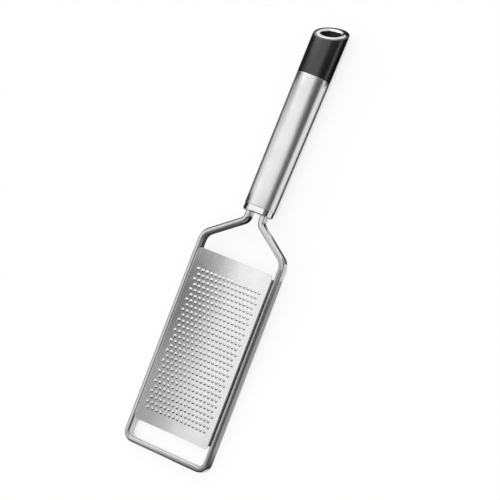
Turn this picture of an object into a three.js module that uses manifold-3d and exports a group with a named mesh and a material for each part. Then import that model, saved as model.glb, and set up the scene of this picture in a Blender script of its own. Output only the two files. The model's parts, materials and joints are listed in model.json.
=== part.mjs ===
// A hand grater, lying teeth up as it does on a table: on the heel of its cap and on the bar at its tip.
// Millimetres. X runs across the grater, Y along the handle toward the hanging eye, and Z up.
// The origin is on the table, under the middle of the whole length.

import * as THREE from "three";
import { mergeVertices } from "three/addons/utils/BufferGeometryUtils.js";
import loadManifold from "manifold-3d";

// Clearance between pieces that are pressed together or welded
const fitGap = 0.3;

// Handle tube: tapered, open at both ends, with its lower edge rounded
const tubeLength = 98.9;
const tubeMouthRadius = 11.3;
const tubeTopRadius = 12.2;
const tubeWall = 1;
const tubeLipRadius = 0.3;

// Ferrule: a plug in the mouth of the tube, with a wider head that stands proud of it
const ferruleProud = 4.7;
const ferruleHeadInset = 0.3;
const ferruleDepth = 14;
const ferruleEdgeRadius = 0.8;

// Leg anchor: the block inside the tube that grips the leg ends
const legReach = 44;
const legEndProud = 2;
const anchorThickness = 8;

// End cap: from its joint with the tube to the middle of its slanted end
const capLength = 33.3;
const capEndRadius = 12.4;
const capSlant = THREE.MathUtils.degToRad(30);
const capRimWall = 1.4;
const capRimRadius = 0.9;
const capSpigotLength = 14;

// Hanging eye: a ring let into the slanted end, a blind bore, and a window in the back of the cap
const ringWidth = 3.6;
const ringThickness = 1.5;
const ringProud = 0.4;
const ringCrown = 1;
const eyeFloor = 12.4;
const windowWidth = 9;
const windowLength = 13;
const windowHeel = 4.4;

// Frame loop: a flat bar with round edges, bent on edge. Lengths run from the face of the ferrule.
const barWidth = 4.3;
const barDepth = 7.4;
const legInset = 2.85;
const legRun = 6;
const shoulderDrop = 25.5;
const loopLength = 179.6;
const railSpacing = 68.6;
const legBend = 6;
const shoulderBend = 10;
const tipBend = 6;

// Grating plate: a dished sheet with its sides folded down between the rails
const sheetThickness = 0.4;
const neckGap = 10.05;
const tipGap = 12.75;
const plateRise = 1.2;
const dishRadius = 178;
const foldInner = 0.05;
const flangeDepth = 6.8;
const plateCornerRadius = 3;

// Teeth: staggered rows of punched scoops, whose lips stand on the handle side of their holes
const toothPitch = 3.5;
const rowPitch = 3.83;
const headMargin = 15.35;
const tipMargin = 9;
const sideMargin = 3;
const toothWidth = 2.3;
const toothBack = 1.25;
const toothThroat = 1.2;
const lipHeight = 0.65;
const lipSetback = 0.15;

// Smoothness
const roundSteps = 32;
const edgeSteps = 4;
const crownSteps = 3;
const plateCornerSteps = 3;
const bendSteps = 4;
const cornerSteps = 5;
const foldSteps = 2;
const plainColumns = 8;
const weldTolerance = 1e-3;

const halfPi = Math.PI / 2;

const wasm = await loadManifold();
wasm.setup();

// Joins equal corners, drops the empty triangles that this leaves, and turns the faces outward.
function weld(geometry) {
  const bare = geometry.clone();
  bare.deleteAttribute("normal");
  bare.deleteAttribute("uv");
  const merged = mergeVertices(bare, weldTolerance);
  const source = merged.index.array;
  const faces = [];
  for (let k = 0; k < source.length; k += 3) {
    const [a, b, c] = [source[k], source[k + 1], source[k + 2]];
    if (a !== b && b !== c && c !== a) faces.push([a, b, c]);
  }
  const isInsideOut = signedVolume(merged.attributes.position, faces) < 0;
  merged.setIndex(faces.flatMap(([a, b, c]) => (isInsideOut ? [a, c, b] : [a, b, c])));
  return merged;
}

function signedVolume(position, faces) {
  const [a, b, c] = [new THREE.Vector3(), new THREE.Vector3(), new THREE.Vector3()];
  let volume = 0;
  for (const face of faces) {
    a.fromBufferAttribute(position, face[0]);
    b.fromBufferAttribute(position, face[1]);
    c.fromBufferAttribute(position, face[2]);
    volume += a.dot(b.cross(c)) / 6;
  }
  return volume;
}

function meshGeometry(points, faces) {
  const geometry = new THREE.BufferGeometry();
  geometry.setAttribute("position", new THREE.Float32BufferAttribute(points.flatMap((p) => [p.x, p.y, p.z]), 3));
  geometry.setIndex(faces.flat());
  return weld(geometry);
}

function toSolid(geometry) {
  const welded = weld(geometry);
  return new wasm.Manifold(new wasm.Mesh({
    numProp: 3,
    vertProperties: welded.attributes.position.array,
    triVerts: new Uint32Array(welded.index.array),
  }));
}

function subtract(geometry, cutters) {
  const solid = cutters.reduce((left, cutter) => left.subtract(toSolid(cutter)), toSolid(geometry));
  const mesh = solid.getMesh();
  const result = new THREE.BufferGeometry();
  result.setAttribute("position", new THREE.BufferAttribute(mesh.vertProperties, 3));
  result.setIndex(Array.from(mesh.triVerts));
  return result;
}

// Turns a profile of [radius, y] pairs about the handle's axis.
function revolve(profile) {
  const points = profile.map(([radius, y]) => new THREE.Vector2(radius, y));
  return weld(new THREE.LatheGeometry(points, roundSteps));
}

// Skins a row of point rings, closing its two ends, or joining the last ring to the first.
function loft(rings, joinsUp = false) {
  const count = rings[0].length;
  const points = rings.flat();
  const faces = [];
  const spans = joinsUp ? rings.length : rings.length - 1;
  for (let k = 0; k < spans; k += 1) {
    const here = k * count;
    const next = ((k + 1) % rings.length) * count;
    for (let i = 0; i < count; i += 1) {
      const j = (i + 1) % count;
      faces.push([here + i, here + j, next + j], [here + i, next + j, next + i]);
    }
  }
  if (!joinsUp) {
    const last = (rings.length - 1) * count;
    for (let i = 1; i < count - 1; i += 1) {
      faces.push([0, i + 1, i], [last, last + i, last + i + 1]);
    }
  }
  return meshGeometry(points, faces);
}

// A ring about the handle's axis, square to it or slanted like the end of the cap.
function handleRing(radius, y, slant = 0) {
  return Array.from({ length: roundSteps }, (_, k) => {
    const angle = (2 * Math.PI * k) / roundSteps;
    const z = radius * Math.sin(angle);
    return new THREE.Vector3(radius * Math.cos(angle), y - z * Math.tan(slant), z);
  });
}

function quarterRound(radius, steps) {
  return Array.from({ length: steps + 1 }, (_, k) => {
    const angle = (halfPi * k) / steps;
    return [radius * Math.sin(angle), radius * Math.cos(angle)];
  });
}

// Handle places, along Y from the face of the ferrule
const tubeStart = ferruleProud;
const capJoint = tubeStart + tubeLength;
const tubeTaper = (tubeTopRadius - tubeMouthRadius) / tubeLength;
const boreRadiusAt = (y) => tubeMouthRadius + tubeTaper * (y - tubeStart) - tubeWall;
const ferruleRadius = tubeMouthRadius - ferruleHeadInset;
const plugRadius = boreRadiusAt(tubeStart) - fitGap;

function handleTube() {
  const lip = Math.min(tubeLipRadius, tubeWall);
  const roundedLip = quarterRound(lip, edgeSteps).map(([across, along]) => (
    [tubeMouthRadius - lip + across, tubeStart + lip - along]
  ));
  const profile = [
    [boreRadiusAt(capJoint), capJoint],
    [boreRadiusAt(tubeStart), tubeStart],
    ...roundedLip,
    [tubeTopRadius, capJoint],
    [boreRadiusAt(capJoint), capJoint],
  ];
  return revolve(profile);
}

// The bar's middle line: a leg, its shoulder, a rail, the tip, and back along the other side.
const legOffset = ferruleRadius - legInset - barWidth / 2;
const railOffset = railSpacing / 2;
const halfLoop = [
  { x: legOffset, y: legReach, bend: 0 },
  { x: legOffset, y: -legRun, bend: legBend, steps: bendSteps },
  { x: railOffset, y: -shoulderDrop, bend: shoulderBend, steps: bendSteps },
  { x: railOffset, y: -loopLength, bend: tipBend, steps: cornerSteps },
];

// The bar's section: a flat of the given width with its two edges fully rounded.
function barSection(width, depth) {
  const radius = width / 2;
  const flat = depth / 2 - radius;
  const edge = (turn, shift) => Array.from({ length: edgeSteps + 1 }, (_, k) => {
    const angle = turn + (Math.PI * k) / edgeSteps;
    return [radius * Math.cos(angle), shift + radius * Math.sin(angle)];
  });
  return [...edge(0, flat), ...edge(Math.PI, -flat)];
}

// Places along a line of corners, each rounded to its bend, with the direction across the line.
function bentStations(corners) {
  const stations = [];
  corners.forEach((corner, k) => {
    const here = new THREE.Vector2(corner.x, corner.y);
    const towards = (other) => new THREE.Vector2(other.x, other.y).sub(here).normalize();
    const back = k > 0 ? towards(corners[k - 1]) : null;
    const ahead = k < corners.length - 1 ? towards(corners[k + 1]) : null;
    if (!back || !ahead) {
      const along = ahead ?? back.clone().negate();
      stations.push({ point: here, across: new THREE.Vector2(-along.y, along.x) });
      return;
    }
    const turn = Math.PI - Math.acos(back.dot(ahead));
    const side = Math.sign(ahead.cross(back));
    const centre = here.clone().addScaledVector(back.clone().add(ahead).normalize(), corner.bend / Math.cos(turn / 2));
    const across = new THREE.Vector2(back.y, -back.x);
    for (let step = 0; step <= corner.steps; step += 1) {
      const turned = across.clone().rotateAround(new THREE.Vector2(), (side * turn * step) / corner.steps);
      const point = centre.clone().addScaledVector(turned, -side * corner.bend);
      stations.push({ point, across: turned });
    }
  });
  return stations;
}

function sweepBar(corners, section) {
  return loft(bentStations(corners).map(({ point, across }) => section.map(([a, b]) => (
    new THREE.Vector3(point.x + a * across.x, point.y + a * across.y, b)
  ))));
}

function frameLoop() {
  const otherHalf = halfLoop.map((corner) => ({ ...corner, x: -corner.x })).reverse();
  return sweepBar([...halfLoop, ...otherHalf], barSection(barWidth, barDepth));
}

// The loop slopes from the handle down to its tip, so that the cross bar and the cap's heel both touch the table.
const barEdgeRadius = barWidth / 2;
const barFlat = barDepth / 2 - barEdgeRadius;
const loopSlope = (
  Math.asin((capEndRadius - barEdgeRadius) / Math.hypot(loopLength, barFlat)) - Math.atan2(barFlat, loopLength)
);

// Straight cutters that leave a fitted slot round each leg.
function legCutters() {
  const section = barSection(barWidth + 2 * fitGap, barDepth + 2 * fitGap);
  return [legOffset, -legOffset].map((x) => {
    const run = [{ x, y: legReach }, { x, y: -legRun }];
    return sweepBar(run, section).rotateX(loopSlope);
  });
}

function ferrule() {
  const roundedEdge = quarterRound(ferruleEdgeRadius, edgeSteps).map(([across, along]) => (
    [ferruleRadius - ferruleEdgeRadius + across, ferruleEdgeRadius - along]
  ));
  const headEnd = ferruleProud - fitGap;
  const plugEnd = ferruleProud + ferruleDepth;
  const body = revolve([
    [0, 0],
    ...roundedEdge,
    [ferruleRadius, headEnd],
    [plugRadius, headEnd],
    [plugRadius, plugEnd],
    [0, plugEnd],
  ]);
  return subtract(body, legCutters());
}

function legAnchor() {
  const end = legReach - legEndProud;
  const start = end - anchorThickness;
  const radius = boreRadiusAt(start) - fitGap;
  return subtract(revolve([[0, start], [radius, start], [radius, end], [0, end]]), legCutters());
}

// The hanging eye, worked inward from the end of the cap
const ringOuter = capEndRadius - capRimWall - fitGap;
const ringInner = ringOuter - ringWidth;
const capFace = capJoint + capLength;
const recessDepth = ringThickness - ringProud + fitGap;

// A slot with round ends that opens the bore through the back of the cap.
function windowCutter() {
  const radius = windowWidth / 2;
  const end = capFace - windowHeel;
  const start = end - windowLength;
  const outline = new THREE.Shape();
  outline.absarc(0, end - radius, radius, 0, Math.PI);
  outline.absarc(0, start + radius, radius, Math.PI, 2 * Math.PI);
  const options = { depth: 2 * capEndRadius, bevelEnabled: false, curveSegments: cornerSteps };
  return new THREE.ExtrudeGeometry(outline, options).translate(0, 0, -options.depth);
}

function endCap() {
  const rim = Math.min(capRimRadius, capRimWall);
  const roundedRim = quarterRound(rim, edgeSteps).reverse().map(([across, along]) => (
    handleRing(capEndRadius - rim + across, capFace - rim + along, capSlant)
  ));
  const spigotEnd = capJoint - capSpigotLength;
  const spigotRadius = boreRadiusAt(spigotEnd) - fitGap;
  const shoulder = capJoint + fitGap;
  const body = loft([
    handleRing(spigotRadius, spigotEnd),
    handleRing(spigotRadius, shoulder),
    handleRing(tubeTopRadius, shoulder),
    ...roundedRim,
    handleRing(ringOuter + fitGap, capFace, capSlant),
    handleRing(ringOuter + fitGap, capFace - recessDepth, capSlant),
    handleRing(ringInner, capFace - recessDepth, capSlant),
    handleRing(ringInner, capJoint + eyeFloor),
  ]);
  return subtract(body, [windowCutter()]);
}

function eyeletRing() {
  const middle = (ringOuter + ringInner) / 2;
  const crown = Array.from({ length: crownSteps + 1 }, (_, k) => {
    const angle = (Math.PI * k) / crownSteps;
    const radius = middle + (ringWidth / 2) * Math.cos(angle);
    return handleRing(radius, capFace + ringProud - ringCrown * (1 - Math.sin(angle)), capSlant);
  });
  const seat = capFace + ringProud - ringThickness;
  return loft([handleRing(ringOuter, seat, capSlant), ...crown, handleRing(ringInner, seat, capSlant)].reverse(), true);
}

// The sheet, measured on its middle surface. plateHalf is where the side folds begin.
const plateTop = -(shoulderDrop + neckGap);
const plateLength = loopLength - barWidth / 2 - tipGap - shoulderDrop - neckGap;
const flangeFace = railOffset - barWidth / 2 - fitGap;
const foldMiddle = foldInner + sheetThickness / 2;
const foldOuter = foldInner + sheetThickness;
const plateHalf = (flangeFace - sheetThickness / 2 - foldMiddle) / (1 + foldMiddle / dishRadius);
const dishSlope = Math.asin(plateHalf / dishRadius);
const foldTurn = dishSlope + halfPi;
const foldLength = foldMiddle * foldTurn;
const flangeLeg = flangeDepth - foldOuter;
const foldCentre = { x: plateHalf + foldMiddle * Math.sin(dishSlope), z: barDepth / 2 + plateRise - foldOuter };
const dishCentreZ = foldCentre.z + foldMiddle * Math.cos(dishSlope) + dishRadius * Math.cos(dishSlope);

// Folds a place u across the flat blank: dished in the middle, round the fold, then down the flange.
function foldAcross(u) {
  const side = Math.sign(u);
  const past = Math.abs(u) - plateHalf;
  if (past <= 0) {
    const rise = Math.sqrt(dishRadius ** 2 - u ** 2);
    return { x: u, z: dishCentreZ - rise, normalX: -u / dishRadius, normalZ: rise / dishRadius };
  }
  const lean = dishSlope - Math.min(past / foldMiddle, foldTurn);
  const drop = Math.max(past - foldLength, 0);
  return {
    x: side * (foldCentre.x - foldMiddle * Math.sin(lean)),
    z: foldCentre.z + foldMiddle * Math.cos(lean) - drop,
    normalX: -side * Math.sin(lean),
    normalZ: Math.cos(lean),
  };
}

const flangeColumns = [
  ...Array.from({ length: foldSteps }, (_, k) => plateHalf + (foldLength * (k + 1)) / foldSteps),
  plateHalf + foldLength + flangeLeg,
];

// The flat blank: its corners and triangles, built strip by strip from the handle end to the tip.
function punchedBlank() {
  const points = [];
  const faces = [];
  const add = (u, v, lift = 0) => points.push({ u, v, lift }) - 1;
  const addLine = (columns, v) => columns.map((u) => add(u, v));

  const stitch = (upper, lower) => {
    let i = 0;
    let j = 0;
    while (i < upper.length - 1 || j < lower.length - 1) {
      const upperNext = i < upper.length - 1 ? points[upper[i + 1]].u : Infinity;
      const lowerNext = j < lower.length - 1 ? points[lower[j + 1]].u : Infinity;
      if (lowerNext <= upperNext) {
        faces.push([upper[i], lower[j], lower[j + 1]]);
        j += 1;
      } else {
        faces.push([upper[i], lower[j], upper[i + 1]]);
        i += 1;
      }
    }
  };

  const plainLine = (half, v) => addLine(
    Array.from({ length: plainColumns + 1 }, (_, k) => half * ((2 * k) / plainColumns - 1)),
    v,
  );
  const flangeLine = (side, v) => {
    const line = addLine(flangeColumns.map((u) => side * u), v);
    return side < 0 ? line.reverse() : line;
  };
  const withFlanges = (line, v) => [...flangeLine(-1, v), ...line, ...flangeLine(1, v)];

  // One row of teeth: the lips' triangles, and the row's edges on its handle side and its tip side.
  const toothRow = (count, v) => {
    const backEdge = [];
    const throatEdge = [];
    for (let k = 0; k < count; k += 1) {
      const u = (k - (count - 1) / 2) * toothPitch;
      const left = add(u - toothWidth / 2, v);
      const right = add(u + toothWidth / 2, v);
      const back = add(u, v + toothBack);
      const throat = add(u, v - toothThroat);
      const lip = add(u, v + lipSetback, lipHeight);
      faces.push([back, left, lip], [back, lip, right]);
      backEdge.push(left, back, right);
      throatEdge.push(left, throat, right);
    }
    const start = [...flangeLine(-1, v), add(-plateHalf, v)];
    const end = [add(plateHalf, v), ...flangeLine(1, v)];
    return { backEdge: [...start, ...backEdge, ...end], throatEdge: [...start, ...throatEdge, ...end] };
  };

  const corner = quarterRound(plateCornerRadius, plateCornerSteps).map(([across, along]) => (
    { half: plateHalf - plateCornerRadius + across, inset: plateCornerRadius - along }
  ));
  const headLines = corner.map(({ half, inset }) => plainLine(half, plateTop - inset));
  const plateEnd = plateTop - plateLength;
  const tipLines = corner.map(({ half, inset }) => plainLine(half, plateEnd + inset)).reverse();

  headLines.slice(1).forEach((line, k) => stitch(headLines[k], line));
  let above = withFlanges(headLines.at(-1), plateTop - plateCornerRadius);
  const fieldWidth = 2 * (plateHalf - sideMargin) - toothWidth;
  const teethInRow = Math.floor(fieldWidth / toothPitch) + 1;
  const rowCount = Math.floor((plateLength - headMargin - tipMargin) / rowPitch) + 1;
  for (let row = 0; row < rowCount; row += 1) {
    const { backEdge, throatEdge } = toothRow(teethInRow - (row % 2), plateTop - headMargin - row * rowPitch);
    stitch(above, backEdge);
    above = throatEdge;
  }
  stitch(above, withFlanges(tipLines[0], plateEnd + plateCornerRadius));
  tipLines.slice(1).forEach((line, k) => stitch(tipLines[k], line));
  return { points, faces };
}

// Folds the blank and gives it its thickness, with a wall along every open edge of its faces.
function gratingPlate() {
  const { points, faces } = punchedBlank();
  const skin = (offset) => points.map(({ u, v, lift }) => {
    const { x, z, normalX, normalZ } = foldAcross(u);
    return new THREE.Vector3(x + normalX * (offset + lift), v, z + normalZ * (offset + lift));
  });
  const under = points.length;
  const edges = new Set(faces.flatMap(([a, b, c]) => [`${a} ${b}`, `${b} ${c}`, `${c} ${a}`]));
  const walls = [];
  for (const edge of edges) {
    const [a, b] = edge.split(" ").map(Number);
    if (!edges.has(`${b} ${a}`)) walls.push([a, a + under, b + under], [a, b + under, b]);
  }
  const underFaces = faces.map(([a, b, c]) => [a + under, c + under, b + under]);
  const bothSkins = [...skin(sheetThickness / 2), ...skin(-sheetThickness / 2)];
  return meshGeometry(bothSkins, [...faces, ...underFaces, ...walls]);
}

const satinSteel = new THREE.MeshStandardMaterial({ color: 0xc9c9c9, roughness: 0.35, metalness: 1 });
const polishedSteel = new THREE.MeshStandardMaterial({ color: 0xd6d6d6, roughness: 0.1, metalness: 1 });
const sheetSteel = new THREE.MeshStandardMaterial({ color: 0xc4c4c4, roughness: 0.3, metalness: 1 });
const innerSteel = new THREE.MeshStandardMaterial({ color: 0x9a9a9a, roughness: 0.5, metalness: 1 });
const blackPlastic = new THREE.MeshStandardMaterial({ color: 0x161616, roughness: 0.4, metalness: 0 });

function namedMesh(name, geometry, material) {
  const mesh = new THREE.Mesh(geometry, material);
  mesh.name = name;
  return mesh;
}

// The blade, in the plane of the loop
const blade = new THREE.Group();
blade.rotation.x = loopSlope;
blade.add(
  namedMesh("frame_loop", frameLoop(), polishedSteel),
  namedMesh("grating_plate", gratingPlate(), sheetSteel),
);

// The handle, level on its own axis, with the blade set into it
const grater = new THREE.Group();
grater.add(
  namedMesh("handle_tube", handleTube(), satinSteel),
  namedMesh("ferrule", ferrule(), polishedSteel),
  namedMesh("leg_anchor", legAnchor(), innerSteel),
  namedMesh("end_cap", endCap(), blackPlastic),
  namedMesh("eyelet_ring", eyeletRing(), polishedSteel),
  blade,
);

// Stands the finished grater on the table, with the origin under its middle.
const bounds = new THREE.Box3().setFromObject(grater, true);
const middle = bounds.getCenter(new THREE.Vector3());
grater.position.set(0, -middle.y, -bounds.min.z);

export default grater;
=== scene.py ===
"""A hand grater on a pale studio floor: finer pieces over its solids, their materials, light and camera.

Everything is in metres in the frame of the solids: X runs across the grater, Y along the handle toward the
hanging eye, and Z up. The blade is drawn in the plane of the bent bar and then tipped onto the table.
"""

import json
import math

import bmesh
import bpy
from mathutils import Matrix, Vector


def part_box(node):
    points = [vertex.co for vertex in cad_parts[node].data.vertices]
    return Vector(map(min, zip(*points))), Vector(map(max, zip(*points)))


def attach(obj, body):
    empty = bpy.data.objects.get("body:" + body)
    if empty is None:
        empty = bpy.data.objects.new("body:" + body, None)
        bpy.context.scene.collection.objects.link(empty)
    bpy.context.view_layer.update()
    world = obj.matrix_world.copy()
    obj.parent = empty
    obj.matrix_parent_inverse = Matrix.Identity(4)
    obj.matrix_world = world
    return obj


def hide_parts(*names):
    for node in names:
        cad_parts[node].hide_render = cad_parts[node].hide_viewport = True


MM = 0.001

# Handle tube and ferrule
TUBE_MOUTH_RADIUS = 11.3 * MM
TUBE_WALL = 1.0 * MM
TUBE_LIP = 0.3 * MM
FERRULE_EDGE = 0.8 * MM
FERRULE_GAP = 0.1 * MM

# End cap and hanging eye
CAP_SLANT = math.radians(30)
CAP_JOINT_GAP = 0.3 * MM
CAP_SPIGOT = 14 * MM
CAP_RIM_RADIUS = 0.9 * MM
RING_WIDTH = 3.6 * MM
RING_THICKNESS = 1.5 * MM
RING_PROUD = 0.4 * MM
RING_CROWN = 1.0 * MM
RING_GAP = 0.3 * MM
EYE_FLOOR = 12.4 * MM
WINDOW_WIDTH = 9 * MM
WINDOW_LENGTH = 13 * MM
WINDOW_HEEL = 4.4 * MM

# Bent bar: lengths run from the face of the ferrule toward the tip
BAR_WIDTH = 4.3 * MM
BAR_DEPTH = 7.4 * MM
BAR_EDGE = 1.6 * MM
LEG_OFFSET = 6.0 * MM
LEG_REACH = 44 * MM
LEG_RUN = 6 * MM
SHOULDER_DROP = 25.5 * MM
LEG_BEND = 6 * MM
SHOULDER_BEND = 10 * MM
TIP_BEND = 6 * MM

# Punched sheet
SHEET_THICKNESS = 0.4 * MM
NECK_GAP = 10.05 * MM
TIP_GAP = 12.75 * MM
PLATE_RISE = 1.2 * MM
DISH_RADIUS = 178 * MM
FOLD_INNER = 0.05 * MM
FLANGE_DEPTH = 6.8 * MM
FLANGE_GAP = 0.02 * MM
PLATE_CORNER = 3 * MM
FOLD_EASE = 0.1 * MM

# Teeth: backs and fronts run along the plate from a tooth's middle, and the taper lowers a lip at its sides
TOOTH_PITCH = 3.5 * MM
ROW_PITCH = 3.83 * MM
TEETH_IN_ROW = 16
ROWS = 28
HEAD_MARGIN = 15.35 * MM
TOOTH_WIDTH = 2.4 * MM
TOOTH_BACK = 1.5 * MM
TOOTH_FRONT = 1.0 * MM
HOLE_WIDTH = 1.45 * MM
HOLE_BACK = 0.25 * MM
HOLE_FRONT = 0.8 * MM
LIP_HEIGHT = 0.65 * MM
LIP_TAPER = 2.2

# Smoothness of the meshes
ROUND_STEPS = 96
EDGE_STEPS = 8
BEND_STEPS = 16
CELL_STEPS = 4
LIP_STEPS = 3
FOLD_STEPS = 5
MARGIN_STEPS = 3
HEAD_STEPS = 4
FOOT_STEPS = 2
WELD = 1e-7
SHARP_EDGE = math.radians(40)
SHEET_SHARP_EDGE = math.radians(55)

# Finishes: scales are in features per metre, and spreads are shares of a value
NOISE_LOW = 0.3
NOISE_HIGH = 0.7
STEEL_CLOUDS = (90, 60, 90)
TONE_SPREAD = 0.04
STEEL_GLOSS_SPREAD = 0.12
PLASTIC_CLOUDS = (120, 120, 120)
PLASTIC_GRAIN = (4500, 4500, 4500)
PLASTIC_DARK = 0.0055
PLASTIC_LIGHT = 0.0075
PLASTIC_GLOSS_SPREAD = 0.1
PLASTIC_RELIEF = 0.12
GRAIN_HEIGHT = 0.02 * MM
BORE_MARGIN = 1.01

# Floor, and the painted shadow under the sheet: a grey sheet on the floor, graded darker to the left
FLOOR_REACH = 6.0
FLOOR_CLOUDS = (6, 6, 6)
FLOOR_DARK = 0.94
FLOOR_LIGHT = 0.96
PAPER_ROUGHNESS = 0.9
SHADOW_REACH = 0.04
SHADOW_DARK = 0.08
SHADOW_OPEN = 0.36
FLOOR_GLOW = 0.85
# Painted shadow under the sheet: its greys from left to right, its height and its outline
SHADE_LEFT = -0.03
SHADE_RIGHT = 0.02
SHADE_DARK = 0.05
SHADE_LIGHT = 0.94
SHADE_HEIGHT = 5e-5
SHADE_OUTLINE = ((-0.031, -0.139), (0.029, -0.139), (0.029, -0.029), (-0.0355, -0.029))

# Light and camera
SUN_ENERGY = 2.5
SUN_SPREAD = math.radians(120)
SUN_AIM = (0.1, -0.1, -1)
SURROUND = 0.25
CAMERA_PLACE = Vector((747.40, -44.37, 1353.24)) * MM
CAMERA_AIM = Vector((3.86, -6.03, 9.55)) * MM
CAMERA_ROLL = math.radians(-65.09)
CAMERA_LENS = 158.4
CAMERA_SENSOR = 36

# Cards of the studio: heights, and the lines along which they stand or meet
CEILING = 0.3
GROUND = 1e-4
LEFT_WALL = -0.39
RIGHT_WALL = 0.3
BACK_WALL = 0.4
OVERHEAD_RIGHT = 0.55
CAP_OVERHEAD_RIGHT = 0.28
PLATE_LINE = -0.142
BLADE_LINE = -0.018
FOOT_LINE = -0.235
FOOT_TOP = -0.12
LEFT_FENCE = -0.06
HANDLE_FENCE = -0.035
RIGHT_FENCE = 0.07
TIP_FENCE = -0.19
RAIL_SIDE = 0.0365
TIP_SIDE = -0.145
TIP_SIDE_END = -0.157
TIP_STRIPS = 6
TIP_STRIP_GREY = 0.44
TIP_STRIP_STEP = 0.07
BLACK = 0.03

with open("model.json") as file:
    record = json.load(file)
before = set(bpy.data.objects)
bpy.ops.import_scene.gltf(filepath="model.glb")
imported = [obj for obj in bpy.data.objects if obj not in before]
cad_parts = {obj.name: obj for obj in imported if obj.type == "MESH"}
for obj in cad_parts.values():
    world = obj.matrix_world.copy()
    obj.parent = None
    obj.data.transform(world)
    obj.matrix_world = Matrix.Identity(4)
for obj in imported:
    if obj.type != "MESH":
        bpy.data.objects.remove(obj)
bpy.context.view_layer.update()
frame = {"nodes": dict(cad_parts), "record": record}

# Places that the frame gives
tube_low, tube_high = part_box("handle_tube")
ferrule_low, ferrule_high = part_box("ferrule")
_, cap_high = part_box("end_cap")
_, ring_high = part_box("eyelet_ring")
_, loop_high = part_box("frame_loop")
AXIS_Z = (tube_low.z + tube_high.z) / 2
TUBE_TOP_RADIUS = tube_high.x
FERRULE_RADIUS = ferrule_high.x
CAP_END_RADIUS = cap_high.x
RING_OUTER = ring_high.x
RING_INNER = RING_OUTER - RING_WIDTH
CAP_JOINT = tube_high.y
RAIL_OFFSET = loop_high.x - BAR_WIDTH / 2

mounts = {mount["name"]: mount for mount in frame["record"]["mounts"]}
tip_rest = mounts["tip_rest"]
CAP_FACE = mounts["hanging_eye"]["pos_m"][1]
LOOP_SLOPE = math.asin(-tip_rest["axis"][2])
FERRULE_FACE = Vector((0, ferrule_low.y, AXIS_Z))
LOOP_LENGTH = (Vector(tip_rest["pos_m"]) - FERRULE_FACE).length - BAR_WIDTH / 2
BLADE = Matrix.Translation(FERRULE_FACE) @ Matrix.Rotation(LOOP_SLOPE, 4, "X")


def box_outline(x0, x1, y0, y1):
    return [(x0, y0), (x1, y0), (x1, y1), (x0, y1)]


def spaced(start, end, steps):
    return [start + (end - start) * k / steps for k in range(steps + 1)]


def quarter_round(radius):
    """Steps of a quarter circle, as offsets (across, along) that go from (0, radius) to (radius, 0)."""
    angles = [math.pi / 2 * k / EDGE_STEPS for k in range(EDGE_STEPS + 1)]
    return [(radius * math.sin(angle), radius * math.cos(angle)) for angle in angles]


def handle_ring(radius, y, slant=0.0):
    """A ring about the handle's axis, square to it or slanted like the end of the cap."""
    ring = []
    for k in range(ROUND_STEPS):
        angle = 2 * math.pi * k / ROUND_STEPS
        z = radius * math.sin(angle)
        ring.append((radius * math.cos(angle), y - z * math.tan(slant), AXIS_Z + z))
    return ring


def loft(rings, joins_up=False):
    """Skins a row of rings, closing its two ends or joining the last ring to the first."""
    count = len(rings[0])
    points = [point for ring in rings for point in ring]
    faces = []
    for k in range(len(rings) if joins_up else len(rings) - 1):
        here = k * count
        following = (k + 1) % len(rings) * count
        for i in range(count):
            j = (i + 1) % count
            faces.append((here + i, here + j, following + j, following + i))
    if not joins_up:
        last = (len(rings) - 1) * count
        faces.append(tuple(reversed(range(count))))
        faces.append(tuple(range(last, last + count)))
    return points, faces


def shade(mesh, sharp_angle):
    """Turns the faces outward and smooths them, apart from edges sharper than the given angle."""
    shape = bmesh.new()
    shape.from_mesh(mesh)
    bmesh.ops.recalc_face_normals(shape, faces=shape.faces)
    for face in shape.faces:
        face.smooth = True
    for edge in shape.edges:
        edge.smooth = edge.is_manifold and edge.calc_face_angle() < sharp_angle
    shape.to_mesh(mesh)
    shape.free()


def add_object(name, points, faces, material):
    mesh = bpy.data.meshes.new(name)
    mesh.from_pydata(points, [], faces)
    mesh.materials.append(material)
    thing = bpy.data.objects.new(name, mesh)
    bpy.context.scene.collection.objects.link(thing)
    return thing


def add_piece(name, node, shape, material, sharp_angle=SHARP_EDGE):
    """Adds a piece that stands for one solid of the frame."""
    piece = add_object(name, *shape, material)
    shade(piece.data, sharp_angle)
    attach(piece, "root")
    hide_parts(node)
    return piece


def cut(piece, cutter):
    """Takes the cutter's shape out of a piece."""
    modifier = piece.modifiers.new("cut", "BOOLEAN")
    modifier.object = cutter
    modifier.operation = "DIFFERENCE"
    modifier.solver = "EXACT"
    evaluated = piece.evaluated_get(bpy.context.evaluated_depsgraph_get())
    result = bpy.data.meshes.new_from_object(evaluated)
    piece.modifiers.clear()
    piece.data = result
    bpy.data.objects.remove(cutter)


def tube_shape():
    bore = TUBE_TOP_RADIUS - TUBE_WALL
    mouth_bore = TUBE_MOUTH_RADIUS - TUBE_WALL
    mouth = [
        handle_ring(TUBE_MOUTH_RADIUS - TUBE_LIP + across, tube_low.y + TUBE_LIP - along)
        for across, along in quarter_round(TUBE_LIP)
    ]
    top = [
        handle_ring(TUBE_TOP_RADIUS - TUBE_LIP + across, CAP_JOINT - TUBE_LIP + along)
        for across, along in reversed(quarter_round(TUBE_LIP))
    ]
    inside = [handle_ring(bore, CAP_JOINT), handle_ring(mouth_bore, tube_low.y)]
    return loft([*inside, *mouth, *top], joins_up=True)


def ferrule_shape():
    edge = [
        handle_ring(FERRULE_RADIUS - FERRULE_EDGE + across, ferrule_low.y + FERRULE_EDGE - along)
        for across, along in quarter_round(FERRULE_EDGE)
    ]
    head_end = tube_low.y - FERRULE_GAP
    plug_radius = TUBE_MOUTH_RADIUS - TUBE_WALL - FERRULE_GAP
    plug = [handle_ring(plug_radius, head_end), handle_ring(plug_radius, ferrule_high.y)]
    return loft([*edge, handle_ring(FERRULE_RADIUS, head_end), *plug])


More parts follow.
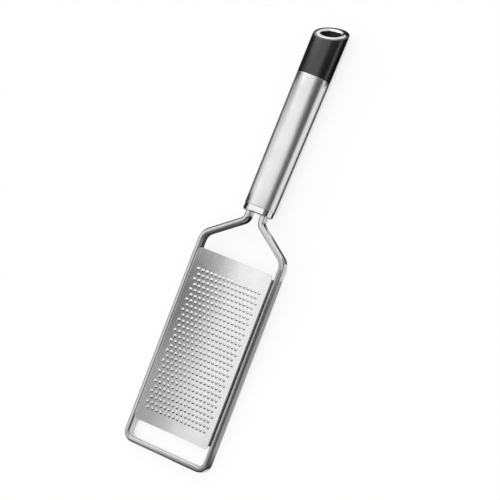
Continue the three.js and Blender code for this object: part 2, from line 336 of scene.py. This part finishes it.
def cap_shape():
    rim = [
        handle_ring(CAP_END_RADIUS - CAP_RIM_RADIUS + across, CAP_FACE - CAP_RIM_RADIUS + along, CAP_SLANT)
        for across, along in reversed(quarter_round(CAP_RIM_RADIUS))
    ]
    spigot = TUBE_TOP_RADIUS - TUBE_WALL - CAP_JOINT_GAP
    shoulder = CAP_JOINT + CAP_JOINT_GAP
    recess = CAP_FACE - (RING_THICKNESS - RING_PROUD + RING_GAP)
    return loft([
        handle_ring(spigot, CAP_JOINT - CAP_SPIGOT),
        handle_ring(spigot, shoulder),
        handle_ring(TUBE_TOP_RADIUS, shoulder),
        *rim,
        handle_ring(RING_OUTER + RING_GAP, CAP_FACE, CAP_SLANT),
        handle_ring(RING_OUTER + RING_GAP, recess, CAP_SLANT),
        handle_ring(RING_INNER, recess, CAP_SLANT),
        handle_ring(RING_INNER, CAP_JOINT + EYE_FLOOR),
    ])


def window_shape():
    """A slot with round ends, from the bore out through the back of the cap."""
    radius = WINDOW_WIDTH / 2
    end = CAP_FACE - WINDOW_HEEL
    start = end - WINDOW_LENGTH
    outline = []
    for centre, turn in ((end - radius, 0.0), (start + radius, math.pi)):
        for k in range(BEND_STEPS + 1):
            angle = turn + math.pi * k / BEND_STEPS
            outline.append((radius * math.cos(angle), centre + radius * math.sin(angle)))
    return loft([[(x, y, z) for x, y in outline] for z in (AXIS_Z - 2 * CAP_END_RADIUS, AXIS_Z)])


def ring_shape():
    """The eyelet ring, crowned on the side that shows."""
    middle = (RING_OUTER + RING_INNER) / 2
    seat = CAP_FACE + RING_PROUD - RING_THICKNESS
    rings = [handle_ring(RING_OUTER, seat, CAP_SLANT)]
    for k in range(2 * EDGE_STEPS + 1):
        angle = math.pi * k / (2 * EDGE_STEPS)
        radius = middle + RING_WIDTH / 2 * math.cos(angle)
        crown = CAP_FACE + RING_PROUD - RING_CROWN * (1 - math.sin(angle))
        rings.append(handle_ring(radius, crown, CAP_SLANT))
    rings.append(handle_ring(RING_INNER, seat, CAP_SLANT))
    return loft(rings, joins_up=True)


def bar_section():
    """A flat with its four edges rounded, as (across, up) pairs."""
    half_width = BAR_WIDTH / 2 - BAR_EDGE
    half_depth = BAR_DEPTH / 2 - BAR_EDGE
    section = []
    for turn, (side, level) in enumerate(((1, 1), (-1, 1), (-1, -1), (1, -1))):
        for k in range(EDGE_STEPS + 1):
            angle = math.pi / 2 * (turn + k / EDGE_STEPS)
            across = side * half_width + BAR_EDGE * math.cos(angle)
            section.append((across, level * half_depth + BAR_EDGE * math.sin(angle)))
    return section


def bent_line(corners):
    """Places along a line of (x, y, bend) corners, rounded to their bends, with the direction across it."""
    stations = []
    places = [Vector(corner[:2]) for corner in corners]
    for k, (place, corner) in enumerate(zip(places, corners)):
        if k in (0, len(corners) - 1):
            along = places[1] - place if k == 0 else place - places[k - 1]
            stations.append((place, Vector((-along.y, along.x)).normalized()))
            continue
        back = (places[k - 1] - place).normalized()
        ahead = (places[k + 1] - place).normalized()
        turn = math.pi - back.angle(ahead)
        side = math.copysign(1, ahead.x * back.y - ahead.y * back.x)
        centre = place + (back + ahead).normalized() * corner[2] / math.cos(turn / 2)
        for step in range(BEND_STEPS + 1):
            across = Matrix.Rotation(side * turn * step / BEND_STEPS, 2) @ Vector((back.y, -back.x))
            stations.append((centre - across * side * corner[2], across))
    return stations


def loop_shape():
    half = [
        (LEG_OFFSET, LEG_REACH, 0),
        (LEG_OFFSET, -LEG_RUN, LEG_BEND),
        (RAIL_OFFSET, -SHOULDER_DROP, SHOULDER_BEND),
        (RAIL_OFFSET, -LOOP_LENGTH, TIP_BEND),
    ]
    other_half = [(-x, y, bend) for x, y, bend in reversed(half)]
    rings = []
    for place, across in bent_line(half + other_half):
        rings.append([
            BLADE @ Vector((place.x + a * across.x, place.y + a * across.y, b)) for a, b in bar_section()
        ])
    return loft(rings)


# The sheet's middle surface: PLATE_HALF is where its side folds begin
PLATE_TOP = -(SHOULDER_DROP + NECK_GAP)
PLATE_END = -(LOOP_LENGTH - BAR_WIDTH / 2 - TIP_GAP)
FLANGE_FACE = RAIL_OFFSET - BAR_WIDTH / 2 - FLANGE_GAP
FOLD_MIDDLE = FOLD_INNER + SHEET_THICKNESS / 2
FOLD_OUTER = FOLD_INNER + SHEET_THICKNESS
PLATE_HALF = (FLANGE_FACE - SHEET_THICKNESS / 2 - FOLD_MIDDLE) / (1 + FOLD_MIDDLE / DISH_RADIUS)
DISH_SLOPE = math.asin(PLATE_HALF / DISH_RADIUS)
FOLD_TURN = DISH_SLOPE + math.pi / 2
FOLD_LENGTH = FOLD_MIDDLE * FOLD_TURN
FOLD_X = PLATE_HALF + FOLD_MIDDLE * math.sin(DISH_SLOPE)
FOLD_Z = BAR_DEPTH / 2 + PLATE_RISE - FOLD_OUTER
DISH_Z = FOLD_Z + (FOLD_MIDDLE + DISH_RADIUS) * math.cos(DISH_SLOPE)


def fold_across(u):
    """Folds a place u across the flat blank, and gives the folded place and the sheet's direction there."""
    past = abs(u) - PLATE_HALF
    if past <= 0:
        rise = math.sqrt(DISH_RADIUS ** 2 - u ** 2)
        return Vector((u, DISH_Z - rise)), Vector((-u, rise)) / DISH_RADIUS
    side = math.copysign(1, u)
    lean = DISH_SLOPE - min(past / FOLD_MIDDLE, FOLD_TURN)
    drop = max(past - FOLD_LENGTH, 0)
    x = side * (FOLD_X - FOLD_MIDDLE * math.sin(lean))
    z = FOLD_Z + FOLD_MIDDLE * math.cos(lean) - drop
    return Vector((x, z)), Vector((-side * math.sin(lean), math.cos(lean)))


def cell_outline():
    """One tooth's share of the sheet: points round its edge, from the middle of its right side."""
    half = CELL_STEPS // 2
    across = spaced(-TOOTH_PITCH / 2, TOOTH_PITCH / 2, CELL_STEPS)
    along = spaced(-ROW_PITCH / 2, ROW_PITCH / 2, CELL_STEPS)
    right = [(across[-1], v) for v in along]
    head = [(u, along[-1]) for u in reversed(across)]
    left = [(across[0], v) for v in reversed(along)]
    foot = [(u, along[0]) for u in across]
    return right[half:-1] + head[:-1] + left[:-1] + foot[:-1] + right[:half]


def tooth_rings():
    """Rings of (across, along, lift) from a tooth's foot to its hole, whose rim is drawn up behind."""
    hole_middle = (HOLE_BACK - HOLE_FRONT) / 2
    hole_reach = (HOLE_BACK + HOLE_FRONT) / 2
    rings = [[] for _ in range(LIP_STEPS + 1)]
    for u, v in cell_outline():
        angle = math.atan2(v / ROW_PITCH, u / TOOTH_PITCH)
        across = math.cos(angle)
        along = math.sin(angle)
        foot = Vector((TOOTH_WIDTH / 2 * across, (TOOTH_BACK if v >= 0 else TOOTH_FRONT) * along))
        rim = Vector((HOLE_WIDTH / 2 * across, hole_middle + hole_reach * along))
        rise = LIP_HEIGHT * ((1 + along) / 2) ** LIP_TAPER
        for k, ring in enumerate(rings):
            share = k / LIP_STEPS
            ring.append((*foot.lerp(rim, share), rise * share))
    return rings


def punched_blank():
    """The flat blank with its punched teeth: points (u, v, lift) and faces."""
    points = []
    faces = []
    known = {}

    def point(u, v, lift=0.0):
        key = (round(u / WELD), round(v / WELD))
        if key not in known:
            known[key] = len(points)
            points.append((u, v, lift))
        return known[key]

    def line(columns, v):
        return [point(u, v) for u in columns]

    def join_lines(lines):
        for upper, lower in zip(lines, lines[1:]):
            for k in range(len(upper) - 1):
                faces.append((upper[k], lower[k], lower[k + 1], upper[k + 1]))

    def join_rings(outer, inner):
        for k in range(len(outer) - 1):
            faces.append((outer[k], outer[k + 1], inner[k + 1], inner[k]))

    cell = cell_outline()
    tooth = tooth_rings()

    def add_tooth(u, v):
        edge = [point(u + a, v + b) for a, b in cell]
        between = [point(u + (a + c) / 2, v + (b + d) / 2) for (a, b), (c, d, _) in zip(cell, tooth[0])]
        rings = [edge, between]
        rings += [[point(u + a, v + b, lift) for a, b, lift in ring] for ring in tooth]
        for outer, inner in zip(rings, rings[1:]):
            join_rings(outer + outer[:1], inner + inner[:1])

    field_half = TEETH_IN_ROW * TOOTH_PITCH / 2
    field = spaced(-field_half, field_half, TEETH_IN_ROW * CELL_STEPS)
    right_margin = spaced(field_half, PLATE_HALF - FOLD_EASE, MARGIN_STEPS) + [PLATE_HALF]
    fold = spaced(PLATE_HALF, PLATE_HALF + FOLD_LENGTH, FOLD_STEPS)
    right_side = right_margin + fold[1:] + [PLATE_HALF + FOLD_LENGTH + FLANGE_DEPTH - FOLD_OUTER]
    left_side = [-u for u in reversed(right_side)]
    plain = [-u for u in reversed(right_margin[1:])] + field + right_margin[1:]
    with_sides = left_side[:-1] + field + right_side[1:]

    corner = [
        ((PLATE_HALF - PLATE_CORNER + across) / PLATE_HALF, PLATE_CORNER - along)
        for across, along in quarter_round(PLATE_CORNER)
    ]
    field_top = PLATE_TOP - HEAD_MARGIN + ROW_PITCH / 2
    field_end = field_top - ROWS * ROW_PITCH
    join_lines([line([u * share for u in plain], PLATE_TOP - inset) for share, inset in corner])
    join_lines([line(with_sides, v) for v in spaced(PLATE_TOP - PLATE_CORNER, field_top, HEAD_STEPS)])
    for row in range(ROWS):
        v = field_top - (row + 0.5) * ROW_PITCH
        count = TEETH_IN_ROW - row % 2
        for k in range(count):
            add_tooth((k - (count - 1) / 2) * TOOTH_PITCH, v)
        row_lines = spaced(v + ROW_PITCH / 2, v - ROW_PITCH / 2, CELL_STEPS)
        spare = CELL_STEPS // 2 * (row % 2)
        join_lines([line(left_side[:-1] + field[:spare + 1], step) for step in row_lines])
        join_lines([line(field[len(field) - 1 - spare:] + right_side[1:], step) for step in row_lines])
    join_lines([line(with_sides, v) for v in spaced(field_end, PLATE_END + PLATE_CORNER, FOOT_STEPS)])
    join_lines([line([u * share for u in plain], PLATE_END + inset) for share, inset in reversed(corner)])
    return points, faces


def plate_shape():
    """Folds the blank and gives it its thickness, with a wall along every open edge of its faces."""
    points, faces = punched_blank()
    skins = []
    for offset in (SHEET_THICKNESS / 2, -SHEET_THICKNESS / 2):
        for u, v, lift in points:
            place, facing = fold_across(u)
            x, z = place + facing * (offset + lift)
            skins.append(BLADE @ Vector((x, v, z)))
    under = len(points)
    edges = {(face[k - 1], face[k]) for face in faces for k in range(len(face))}
    walls = [(a, a + under, b + under, b) for a, b in edges if (b, a) not in edges]
    under_faces = [tuple(k + under for k in reversed(face)) for face in faces]
    return skins, faces + under_faces + sorted(walls)


def new_material(name):
    material = bpy.data.materials.new(name)
    material.use_nodes = True
    nodes = material.node_tree.nodes
    return material, nodes, material.node_tree.links, nodes["Principled BSDF"]


def noise_over(nodes, links, scale, detail=4.0):
    """Noise in the object's own space, with its own scale for each axis, in features per metre."""
    where = nodes.new("ShaderNodeTexCoord")
    stretch = nodes.new("ShaderNodeMapping")
    stretch.inputs["Scale"].default_value = scale
    noise = nodes.new("ShaderNodeTexNoise")
    noise.inputs["Scale"].default_value = 1.0
    noise.inputs["Detail"].default_value = detail
    links.new(where.outputs["Object"], stretch.inputs["Vector"])
    links.new(stretch.outputs["Vector"], noise.inputs["Vector"])
    return noise.outputs["Fac"]


def spread(nodes, links, source, low, high):
    """Maps the middle of a noise onto a range of values."""
    span = nodes.new("ShaderNodeMapRange")
    span.inputs["From Min"].default_value = NOISE_LOW
    span.inputs["From Max"].default_value = NOISE_HIGH
    span.inputs["To Min"].default_value = low
    span.inputs["To Max"].default_value = high
    links.new(source, span.inputs["Value"])
    return span.outputs["Result"]


def shades(nodes, links, source, dark, light):
    """Maps the middle of a noise onto the greys between two values."""
    ramp = nodes.new("ShaderNodeValToRGB")
    ends = ((NOISE_LOW, dark), (NOISE_HIGH, light))
    for element, (position, grey) in zip(ramp.color_ramp.elements, ends):
        element.position = position
        element.color = (grey, grey, grey, 1)
    links.new(source, ramp.inputs["Fac"])
    return ramp.outputs["Color"]


def bump(nodes, links, source, strength, height):
    relief = nodes.new("ShaderNodeBump")
    relief.inputs["Strength"].default_value = strength
    relief.inputs["Distance"].default_value = height
    links.new(source, relief.inputs["Height"])
    return relief.outputs["Normal"]


def steel(name, grey, roughness, grain, relief):
    """Stainless steel with a fine grain: cloudy tone, streaked gloss and a slight relief along the grain."""
    material, nodes, links, surface = new_material(name)
    surface.inputs["Metallic"].default_value = 1.0
    clouds = noise_over(nodes, links, STEEL_CLOUDS)
    streaks = noise_over(nodes, links, grain)
    tone = shades(nodes, links, clouds, grey * (1 - TONE_SPREAD), grey * (1 + TONE_SPREAD))
    smooth = roughness * (1 - STEEL_GLOSS_SPREAD)
    rough = roughness * (1 + STEEL_GLOSS_SPREAD)
    links.new(tone, surface.inputs["Base Color"])
    links.new(spread(nodes, links, streaks, smooth, rough), surface.inputs["Roughness"])
    links.new(bump(nodes, links, streaks, relief, GRAIN_HEIGHT), surface.inputs["Normal"])
    return material


def black_plastic(name, gloss, roughness):
    """Moulded black plastic with a fine satin grain."""
    material, nodes, links, surface = new_material(name)
    surface.inputs["Specular IOR Level"].default_value = gloss
    clouds = noise_over(nodes, links, PLASTIC_CLOUDS)
    grain = noise_over(nodes, links, PLASTIC_GRAIN, detail=2.0)
    smooth = roughness * (1 - PLASTIC_GLOSS_SPREAD)
    rough = roughness * (1 + PLASTIC_GLOSS_SPREAD)
    links.new(shades(nodes, links, clouds, PLASTIC_DARK, PLASTIC_LIGHT), surface.inputs["Base Color"])
    links.new(spread(nodes, links, clouds, smooth, rough), surface.inputs["Roughness"])
    links.new(bump(nodes, links, grain, PLASTIC_RELIEF, GRAIN_HEIGHT), surface.inputs["Normal"])
    return material


def make_matt(surface):
    surface.inputs["Roughness"].default_value = PAPER_ROUGHNESS
    surface.inputs["Specular IOR Level"].default_value = 0.0


def add_floor():
    """A wide white floor that glows where it is open, so that only the contact shadow stays dark."""
    material, nodes, links, surface = new_material("floor_paper")
    paper = noise_over(nodes, links, FLOOR_CLOUDS)
    links.new(shades(nodes, links, paper, FLOOR_DARK, FLOOR_LIGHT), surface.inputs["Base Color"])
    make_matt(surface)

    rays = nodes.new("ShaderNodeLightPath")
    openness = nodes.new("ShaderNodeAmbientOcclusion")
    openness.inputs["Distance"].default_value = SHADOW_REACH
    share = nodes.new("ShaderNodeMapRange")
    share.inputs["From Min"].default_value = SHADOW_DARK
    share.inputs["From Max"].default_value = SHADOW_OPEN
    share.inputs["To Max"].default_value = FLOOR_GLOW
    links.new(openness.outputs["AO"], share.inputs["Value"])
    seen = rays.outputs["Is Camera Ray"]
    for kind in ("Is Glossy Ray", "Is Transmission Ray"):
        either = nodes.new("ShaderNodeMath")
        either.operation = "MAXIMUM"
        links.new(seen, either.inputs[0])
        links.new(rays.outputs[kind], either.inputs[1])
        seen = either.outputs["Value"]
    amount = nodes.new("ShaderNodeMath")
    amount.operation = "MULTIPLY"
    links.new(seen, amount.inputs[0])
    links.new(share.outputs["Result"], amount.inputs[1])
    white = nodes.new("ShaderNodeEmission")
    blend = nodes.new("ShaderNodeMixShader")
    links.new(amount.outputs["Value"], blend.inputs["Fac"])
    links.new(surface.outputs["BSDF"], blend.inputs[1])
    links.new(white.outputs["Emission"], blend.inputs[2])
    links.new(blend.outputs["Shader"], nodes["Material Output"].inputs["Surface"])

    outline = box_outline(-FLOOR_REACH, FLOOR_REACH, -FLOOR_REACH, FLOOR_REACH)
    add_object("floor", [(x, y, 0) for x, y in outline], [(0, 1, 2, 3)], material)


def add_painted_sheet_shadow():
    """A painted shadow under the sheet: a grey sheet on the floor, graded darker to the left, which shows
    through the holes of the teeth.
    """
    material, nodes, links, surface = new_material("painted_shadow_paper")
    where = nodes.new("ShaderNodeTexCoord")
    split = nodes.new("ShaderNodeSeparateXYZ")
    # painted shade: the sheet's grey darkens toward the left
    grade = nodes.new("ShaderNodeMapRange")
    grade.inputs["From Min"].default_value = SHADE_LEFT
    grade.inputs["From Max"].default_value = SHADE_RIGHT
    grade.inputs["To Min"].default_value = SHADE_DARK
    grade.inputs["To Max"].default_value = SHADE_LIGHT
    links.new(where.outputs["Object"], split.inputs["Vector"])
    links.new(split.outputs["X"], grade.inputs["Value"])
    links.new(grade.outputs["Result"], surface.inputs["Base Color"])
    make_matt(surface)
    # the painted shadow sheet lies just over the floor, under the grater
    corners = [(x, y, SHADE_HEIGHT) for x, y in SHADE_OUTLINE]
    add_object("painted_sheet_shadow", corners, [(0, 1, 2, 3)], material)


def add_card(name, corners, grey):
    """A card beside the set that only reflections show, as a studio hangs cards to shade polished metal."""
    material = bpy.data.materials.new(name)
    material.use_nodes = True
    nodes = material.node_tree.nodes
    nodes.remove(nodes["Principled BSDF"])
    glow = nodes.new("ShaderNodeEmission")
    glow.inputs["Color"].default_value = (grey, grey, grey, 1)
    material.node_tree.links.new(glow.outputs["Emission"], nodes["Material Output"].inputs["Surface"])
    card = add_object(name, corners, [tuple(range(len(corners)))], material)
    card.visible_camera = False
    card.visible_diffuse = False
    card.visible_shadow = False
    card.visible_transmission = False


def add_sky():
    """A broad soft sun overhead that lights the floor, and an even grey surround."""
    lamp = bpy.data.lights.new("sky_sun", "SUN")
    lamp.energy = SUN_ENERGY
    lamp.angle = SUN_SPREAD
    sun = bpy.data.objects.new("sky_sun", lamp)
    sun.rotation_euler = Vector(SUN_AIM).to_track_quat("-Z", "Y").to_euler()
    sun.visible_glossy = False
    bpy.context.scene.collection.objects.link(sun)

    world = bpy.data.worlds.new("surround")
    world.use_nodes = True
    surround = world.node_tree.nodes["Background"]
    surround.inputs["Color"].default_value = (1, 1, 1, 1)
    surround.inputs["Strength"].default_value = SURROUND
    bpy.context.scene.world = world


def add_camera():
    lens = bpy.data.cameras.new("camera")
    lens.lens = CAMERA_LENS
    lens.sensor_width = CAMERA_SENSOR
    camera = bpy.data.objects.new("camera", lens)
    facing = (CAMERA_AIM - CAMERA_PLACE).to_track_quat("-Z", "Y").to_matrix()
    turn = facing @ Matrix.Rotation(CAMERA_ROLL, 3, "Z")
    camera.matrix_world = Matrix.Translation(CAMERA_PLACE) @ turn.to_4x4()
    bpy.context.scene.collection.objects.link(camera)
    bpy.context.scene.camera = camera


def add_grater():
    satin = steel("satin_steel", grey=0.78, roughness=0.3, grain=(5000, 60, 5000), relief=0.08)
    sheet = steel("sheet_steel", grey=0.82, roughness=0.25, grain=(5000, 120, 5000), relief=0.06)
    polished = steel("polished_steel", grey=0.72, roughness=0.12, grain=(700, 700, 700), relief=0.03)
    bar = steel("bar_steel", grey=0.57, roughness=0.22, grain=(1500, 1500, 1500), relief=0.05)
    inner = steel("inner_steel", grey=0.5, roughness=0.5, grain=(1500, 1500, 1500), relief=0.1)
    plastic = black_plastic("black_plastic", gloss=0.9, roughness=0.27)
    plastic_inside = black_plastic("black_plastic_inside", gloss=0.2, roughness=0.6)

    add_piece("handle", "handle_tube", tube_shape(), satin)
    add_piece("handle_ferrule", "ferrule", ferrule_shape(), polished)
    add_piece("eye_ring", "eyelet_ring", ring_shape(), polished)
    add_piece("bent_bar", "frame_loop", loop_shape(), bar)
    add_piece("toothed_sheet", "grating_plate", plate_shape(), sheet, SHEET_SHARP_EDGE)

    cap = add_piece("cap", "end_cap", cap_shape(), plastic)
    cut(cap, add_object("window_cutter", *window_shape(), plastic))
    shade(cap.data, SHARP_EDGE)
    cap.data.materials.append(plastic_inside)
    for face in cap.data.polygons:
        if math.hypot(face.center.x, face.center.z - AXIS_Z) < BORE_MARGIN * RING_INNER:
            face.material_index = 1

    for slot in frame["nodes"]["leg_anchor"].material_slots:
        slot.material = inner


def add_level_card(name, outline, height, grey):
    add_card(name, [(x, y, height) for x, y in outline], grey)


def add_upright_card(name, start, end, low, start_top, end_top, grey):
    """A card on edge from one place to another, whose top may slope."""
    (x0, y0), (x1, y1) = start, end
    add_card(name, [(x0, y0, low), (x1, y1, low), (x1, y1, end_top), (x0, y0, start_top)], grey)


def add_overhead_cards():
    """The ceiling, in fields that plate, teeth, rails and handle show: name, outline and grey."""
    plate_outline = [
        (-0.37, FOOT_LINE), (-0.165, FOOT_LINE), (PLATE_LINE, -0.165),
        (PLATE_LINE, BLADE_LINE), (-0.37, BLADE_LINE),
    ]
    foot_outline = [
        (-0.165, FOOT_LINE), (0, FOOT_LINE), (0, FOOT_TOP), (PLATE_LINE, FOOT_TOP), (PLATE_LINE, -0.165),
    ]
    cards = [
        ("plate_card", plate_outline, 1.1),
        ("blade_card", box_outline(PLATE_LINE, 0.0, FOOT_TOP, BLADE_LINE), 0.08),
        ("foot_card", foot_outline, 0.42),
        ("rail_card", box_outline(0.0, 0.42, -0.26, BLADE_LINE), 0.1),
        ("ferrule_card", box_outline(LEFT_WALL, OVERHEAD_RIGHT, BLADE_LINE, 0.05), 1.25),
        ("handle_card", box_outline(LEFT_WALL, OVERHEAD_RIGHT, 0.05, 0.138), 1.03),
        ("tooth_card", box_outline(-0.5, -0.05, 0.215, 0.4), 1.8),
        ("cap_card", box_outline(-0.27, CAP_OVERHEAD_RIGHT, 0.138, 0.215), 1.03),
        ("end_card", box_outline(-0.05, CAP_OVERHEAD_RIGHT, 0.215, 0.35), 1.0),
    ]
    for name, outline, grey in cards:
        add_level_card(name, outline, CEILING, grey)


def add_wall_cards():
    """Cards on edge round the set: high ones far off, and then low fences close to the grater."""
    # Name, start, end, lower edge, top at the start, top at the end, grey
    walls = [
        ("left_card", (LEFT_WALL, BLADE_LINE), (LEFT_WALL, 0.142), 0.06, CEILING, CEILING, 0.9),
        ("far_card", (LEFT_WALL, -0.45), (LEFT_WALL, -0.2), 0.03, CEILING, CEILING, 1.0),
        ("back_card", (-0.7, BACK_WALL), (0.2, BACK_WALL), 0.03, CEILING, CEILING, 1.8),
        ("right_card", (RIGHT_WALL, -0.05), (RIGHT_WALL, 0.12), 0, 0.032, 0.2, 0.16),
        ("cap_side_card", (RIGHT_WALL, 0.12), (RIGHT_WALL, 0.2), 0, 0.2, 0.279, BLACK),
    ]
    for name, start, end, low, start_top, end_top, grey in walls:
        add_upright_card(name, start, end, low, start_top, end_top, grey)

    # Name, start, end, height, grey
    fences = [
        ("left_fence_0", (LEFT_FENCE, TIP_FENCE), (LEFT_FENCE, 0.0), 0.02, 0.7),
        ("neck_fence_0", (LEFT_FENCE, 0.0), (HANDLE_FENCE, 0.03), 0.034, BLACK),
        ("handle_fence_0", (HANDLE_FENCE, 0.03), (HANDLE_FENCE, 0.12), 0.02, BLACK),
        ("cap_fence_0", (HANDLE_FENCE, 0.12), (HANDLE_FENCE, 0.17), 0.033, BLACK),
        ("right_fence_0", (RIGHT_FENCE, -0.02), (RIGHT_FENCE, 0.17), 0.02, BLACK),
        ("rail_fence_0", (RIGHT_FENCE, TIP_FENCE), (RIGHT_FENCE, -0.02), 0.03, 0.15),
        ("tip_fence_0", (LEFT_FENCE, TIP_FENCE), (RIGHT_FENCE, TIP_FENCE), 0.02, BLACK),
    ]
    for name, start, end, height, grey in fences:
        add_upright_card(name, start, end, 0, height, height, grey)


def add_ground_cards():
    """Dark cards flat on the floor that only reflections show, painted shade of the floor for undersides and
    polished bends: name, outline and grey.
    """
    neck_outline = [(-0.022, 0.003), (0.004, 0.0), (0.008, 0.006), (0.008, 0.018), (-0.008, 0.014)]
    shoulder_outline = [(-0.036, -0.008), (-0.036, -0.034), (-0.008, -0.026), (0.004, 0.0), (-0.022, 0.003)]
    right_outline = [(0.004, 0.011), (0.032, -0.008), (0.042, 0.002), (0.02, 0.0155), (0.012, 0.0145)]
    left_outline = [(-0.009, 0.022), (HANDLE_FENCE, 0.03), (LEFT_FENCE, 0.0), (-0.044, -0.02)]
    cards = [
        ("neck_shade", neck_outline, 0.02),
        ("shoulder_shade", shoulder_outline, 0.09),
        ("right_shade", right_outline, 0.1),
        ("left_shade", left_outline, 0.05),
        ("handle_shade", box_outline(-0.03, 0.0175, 0.0195, 0.122), 0.01),
        ("cap_shade", box_outline(-0.03, 0.034, 0.122, 0.17), 0.01),
        ("left_rail_shade", box_outline(LEFT_FENCE, -0.0375, -0.165, -0.02), 0.18),
        ("right_rail_shade", box_outline(RAIL_SIDE, RIGHT_FENCE, TIP_SIDE, BLADE_LINE), 0.5),
    ]
    # graded strips of painted shade beside the rail, darker toward the tip corner
    edges = spaced(TIP_SIDE, TIP_SIDE_END, TIP_STRIPS)
    for k, (near, far) in enumerate(zip(edges, edges[1:])):
        strip = box_outline(RAIL_SIDE, RIGHT_FENCE, far, near)
        cards.append((f"tip_side_shade_{k}", strip, TIP_STRIP_GREY - TIP_STRIP_STEP * k))
    corner_outline = [
        (0.0, TIP_FENCE), (RIGHT_FENCE, TIP_FENCE), (RIGHT_FENCE, TIP_SIDE_END),
        (RAIL_SIDE, TIP_SIDE_END), (RAIL_SIDE, -0.1635), (0.0, -0.1635),
    ]
    cards.append(("tip_corner_shade", corner_outline, 0.06))
    cards.append(("tip_gap_shade", box_outline(0.023, 0.032, TIP_SIDE_END, -0.146), 0.1))
    for name, outline, grey in cards:
        add_level_card(name, outline, GROUND, grey)


def add_studio():
    add_floor()
    add_painted_sheet_shadow()
    add_sky()
    add_overhead_cards()
    add_wall_cards()
    add_ground_cards()


def main():
    bpy.context.scene.view_settings.view_transform = "Standard"
    add_camera()
    add_grater()
    add_studio()


main()
